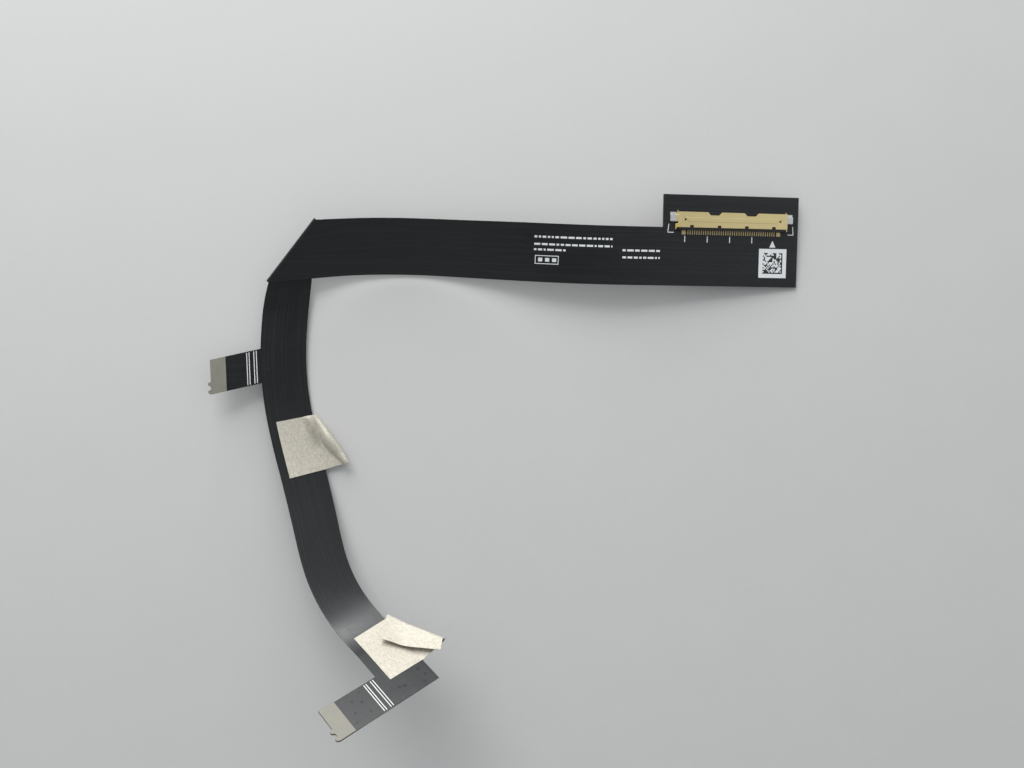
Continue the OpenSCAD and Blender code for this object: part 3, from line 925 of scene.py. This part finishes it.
class FLEX_OT_print(bpy.types.Operator):
    """Prints plain white marks on the wide end, the strip and the tabs"""

    bl_idname = "flex.print"
    bl_label = "White print"

    TICKS = 4
    TICK_STEP = 5.05
    FINE = 0.16
    TAB_LINES = (0.92, 1.45, 2.44, 2.93)
    TAB_MARGIN = 0.25 * MM
    # Rows of bars: start and stop along the strip, and place across it, in millimetres.
    ROWS = ((52.2, 69, 3.4), (52.2, 69, 1.85), (52.2, 59, 0.7), (71.2, 79.4, 1.1), (71.2, 79.4, -0.4))
    BAR_LENGTHS = (0.35, 1.5)
    BAR_HIGH = 0.42
    BAR_GAP = 0.32
    CELL = 0.8
    SEED = 4

    def board_marks(self, bm, lie):
        made = []
        for k in range(self.TICKS):
            x = (-10.4 + self.TICK_STEP * k) * MM
            made += bar(bm, (x, -8.75 * MM), (x, -10.1 * MM), 0.2 * MM, INK)
        made += pad(bm, [(8.8 * MM, -10.9 * MM), (10.2 * MM, -10.9 * MM), (9.5 * MM, -9.4 * MM)], INK)
        for side in (-1, 1):
            corner = (side * 14.2 * MM, -8.1 * MM)
            made += bar(bm, (side * 14.0 * MM, -6.3 * MM), corner, self.FINE * MM, INK)
            made += bar(bm, corner, (side * 12.9 * MM, -8.1 * MM), self.FINE * MM, INK)
        bmesh.ops.transform(bm, matrix=lie.board(), verts=made)

    def strip_marks(self, bm, lie, strip):
        """Rows of plain bars where such a cable carries its small print."""
        rng = random.Random(self.SEED)
        for start, stop, v in self.ROWS:
            s = start
            while s < stop:
                long = min(rng.uniform(*self.BAR_LENGTHS), stop - s)
                self.on_strip(bm, lie, strip, s, s + long, v, self.BAR_HIGH)
                s += long + self.BAR_GAP
        for v in (-0.6, -2.3):
            self.on_strip(bm, lie, strip, 52.5, 57.6, v, self.FINE)
        for s in (52.5, 57.44):
            self.on_strip(bm, lie, strip, s, s + self.FINE, -1.45, 1.7)
        for s in (53.2, 54.7, 56.2):
            self.on_strip(bm, lie, strip, s, s + 0.9, -1.45, 0.8)

    def on_strip(self, bm, lie, strip, s0, s1, v, high):
        count = max(1, round((s1 - s0) / self.CELL))

        def shape(u, w):
            s = mix(s0, s1, u) * MM
            a = strip_angles(s)
            point = lie.strip.place(s, (v + (w - 0.5) * high) * MM, strip.film / 2)
            return point + INK * face(a) + lie.shift, Vector()

        face_up(bm, grid(bm, count, 1, shape), Vector((0, 0, 1)))

    def execute(self, context):
        strip, arm, _tape, look = settings()
        lie = Lie()
        margin = self.TAB_MARGIN
        bm = bmesh.new()
        self.board_marks(bm, lie)
        self.strip_marks(bm, lie, strip)
        for tab, rake in ((lie.side_tab(), arm.side_tab_rake), (lie.lower_tab(), 0.0)):
            made = []
            for y in self.TAB_LINES:
                lean = y * MM * tan(rake)
                made += bar(bm, (margin + lean, -y * MM), (arm.tab_width - margin + lean, -y * MM),
                            self.FINE * MM, INK)
            move = tab @ Matrix.Translation((0, 0, strip.film / 2))
            bmesh.ops.transform(bm, matrix=move, verts=made)
        piece = new_piece("white_print", bm, "label")
        piece.data.materials.append(
            finish_material("White ink", look.ink, 9000.0, 0.12, 0.55, 0.004 * MM))
        return {"FINISHED"}


class FLEX_OT_label(bpy.types.Operator):
    """Sticks the square label on the wide end"""

    bl_idname = "flex.label"
    bl_label = "Label"

    SIZE = 6.3 * MM
    THICK = 0.04 * MM
    HEIGHT = 0.06 * MM

    def execute(self, context):
        look = settings()[3]
        node = NODES["label"]
        bm = bmesh.new()
        lie = Lie()
        board = lie.board()
        low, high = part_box("label")
        middle = board.inverted() @ ((low + high) / 2)
        size = self.SIZE

        def shape(u, w):
            local = Vector((middle.x + (u - 0.5) * size, middle.y + (w - 0.5) * size, self.HEIGHT))
            return board @ local, Vector((u * size, w * size, 0)) / MM

        face_up(bm, grid(bm, 8, 8, shape), board.to_3x3() @ Vector((0, 0, 1)))
        sharp_rim(bm)
        piece = new_piece("square_label", bm, "label", node.name)
        solidify(piece, self.THICK)
        piece.data.materials.append(label_material(look, size))
        return {"FINISHED"}


class FLEX_OT_finishes(bpy.types.Operator):
    """Gives each carried-over solid its own finish and softened edges"""

    bl_idname = "flex.finishes"
    bl_label = "Connector and tab finishes"

    def execute(self, context):
        look = settings()[3]
        shell = finish_material("Plated shell", look.nickel, 2600.0, 0.05, 0.34, 0.002 * MM, 1.0)
        gold = finish_material("Gold contacts", look.gold, 6000.0, 0.08, 0.35, 0.002 * MM, 1.0)
        tin = finish_material("Tinned lugs", look.tin, 3000.0, 0.14, 0.38, 0.02 * MM, 0.85)
        moulding = finish_material("Black moulding", look.moulding, 5000.0, 0.3, 0.45, 0.006 * MM)
        plate = finish_material("Tab stiffener", look.tab_plate, 4200.0, 0.22, 0.48, 0.008 * MM)
        board = glass_board_material(look)
        given = {
            "connector_shell": (shell, 0.04), "connector_contacts": (gold, 0.0),
            "hold_down_left": (tin, 0.1), "hold_down_right": (tin, 0.1),
            "connector_housing": (moulding, 0.02), "connector_stiffener": (board, 0.03),
            "side_tab_stiffener": (plate, 0.03), "lower_tab_stiffener": (plate, 0.03),
            "side_tab_contacts": (gold, 0.0), "lower_tab_contacts": (gold, 0.0),
        }
        for name, (material, edge) in given.items():
            node = NODES[name]
            node.data.materials.clear()
            node.data.materials.append(material)
            if edge:
                weld = node.modifiers.new("Join", "WELD")
                weld.merge_threshold = 0.002 * MM
                soft = node.modifiers.new("Soft edges", "BEVEL")
                soft.width = edge * MM
                soft.segments = 2
                soft.limit_method = "ANGLE"
                soft.angle_limit = radians(40)
        return {"FINISHED"}


class FLEX_OT_stage(bpy.types.Operator):
    """Sets the pale floor, the soft light and the camera"""

    bl_idname = "flex.stage"
    bl_label = "Stage"

    FLOOR_DROP = 0.02 * MM
    CAMERA = (47.1 * MM, -27.8 * MM, 170 * MM)

    def lamp(self, name, place, size, power):
        data = bpy.data.lights.new(name, "AREA")
        data.shape = "SQUARE"
        data.size = size
        data.energy = power
        lamp = bpy.data.objects.new(name, data)
        lamp.location = place
        lamp.rotation_euler = (-Vector(place)).to_track_quat("-Z", "Y").to_euler()
        bpy.context.scene.collection.objects.link(lamp)

    def world(self):
        world = bpy.data.worlds.new("Soft room")
        world.use_nodes = True
        tree = world.node_tree
        back = tree.nodes["Background"]
        back.inputs["Color"].default_value = (0.93, 0.96, 1.0, 1)
        way = tree.nodes.new("ShaderNodeSeparateXYZ")
        tree.links.new(tree.nodes.new("ShaderNodeTexCoord").outputs["Generated"], way.inputs[0])
        overhead = ramp(tree, way.outputs["Z"], 0.80, 0.98)
        soft = value_of(tree, "MULTIPLY_ADD", overhead, -0.45, 0.75)
        north = ramp(tree, way.outputs["Y"], -0.7, 0.3)
        soft = value_of(tree, "MULTIPLY", soft, value_of(tree, "MULTIPLY_ADD", north, 0.5, 0.5))
        path = tree.nodes.new("ShaderNodeLightPath")
        seen = value_of(tree, "MULTIPLY", path.outputs["Is Camera Ray"], 0.5)
        tree.links.new(value_of(tree, "ADD", seen, soft), back.inputs["Strength"])
        bpy.context.scene.world = world

    def floor(self, look):
        bm = bmesh.new()
        bmesh.ops.create_grid(bm, x_segments=2, y_segments=2, size=3)
        bmesh.ops.translate(bm, verts=bm.verts, vec=(0, 0, -self.FLOOR_DROP))
        mesh = bpy.data.meshes.new("floor")
        bm.to_mesh(mesh)
        bm.free()
        ground = bpy.data.objects.new("floor", mesh)
        bpy.context.scene.collection.objects.link(ground)
        mesh.materials.append(finish_material("Floor", look.floor, 700.0, 0.03, 0.75, 0.05 * MM))

    def execute(self, context):
        look = settings()[3]
        self.floor(look)
        self.world()
        self.lamp("north_window", place=(-0.16, 0.48, 0.26), size=0.42, power=3.0)
        self.lamp("low_north", place=(0.0, 0.62, 0.075), size=0.13, power=0.9)
        camera = bpy.data.cameras.new("camera")
        camera.lens = 27
        camera.sensor_width = 36
        camera.sensor_fit = "HORIZONTAL"
        camera.clip_start = 0.001
        stand = bpy.data.objects.new("camera", camera)
        lie = Lie()
        x, y, z = self.CAMERA
        stand.location = (x + lie.shift.x, y + lie.shift.y, z)
        context.scene.collection.objects.link(stand)
        context.scene.camera = stand
        context.scene.view_settings.view_transform = "Standard"
        return {"FINISHED"}


class FLEX_PT_panel(bpy.types.Panel):
    """Lists the pieces of the cable"""

    bl_idname = "FLEX_PT_panel"
    bl_label = "Flat flex cable"
    bl_space_type = "VIEW_3D"
    bl_region_type = "UI"
    bl_category = "Flex Cable"

    def draw(self, context):
        for operator in OPERATORS:
            self.layout.operator(operator.bl_idname)
        for group in settings():
            box = self.layout.box()
            for name in group.bl_rna.properties.keys():
                if name not in ("rna_type", "name"):
                    box.prop(group, name)


GROUPS = {
    "flex_strip": StripSettings, "flex_arm": ArmSettings,
    "flex_tape": TapeSettings, "flex_look": LookSettings,
}
OPERATORS = (
    FLEX_OT_stage, FLEX_OT_film, FLEX_OT_ridges, FLEX_OT_finishes,
    FLEX_OT_tapes, FLEX_OT_print, FLEX_OT_label,
)


def register():
    for cls in (*GROUPS.values(), *OPERATORS, FLEX_PT_panel):
        bpy.utils.register_class(cls)
    for name, cls in GROUPS.items():
        setattr(bpy.types.Scene, name, PointerProperty(type=cls))


def unregister():
    for name in GROUPS:
        delattr(bpy.types.Scene, name)
    for cls in (FLEX_PT_panel, *reversed(OPERATORS), *reversed(list(GROUPS.values()))):
        bpy.utils.unregister_class(cls)


def main():
    register()
    for operator in OPERATORS:
        group, name = operator.bl_idname.split(".")
        result = getattr(getattr(bpy.ops, group), name)()
        if result != {"FINISHED"}:
            raise RuntimeError(f"{operator.bl_label} didn't finish")
    bpy.context.view_layer.update()


if __name__ == "__main__":
    main()
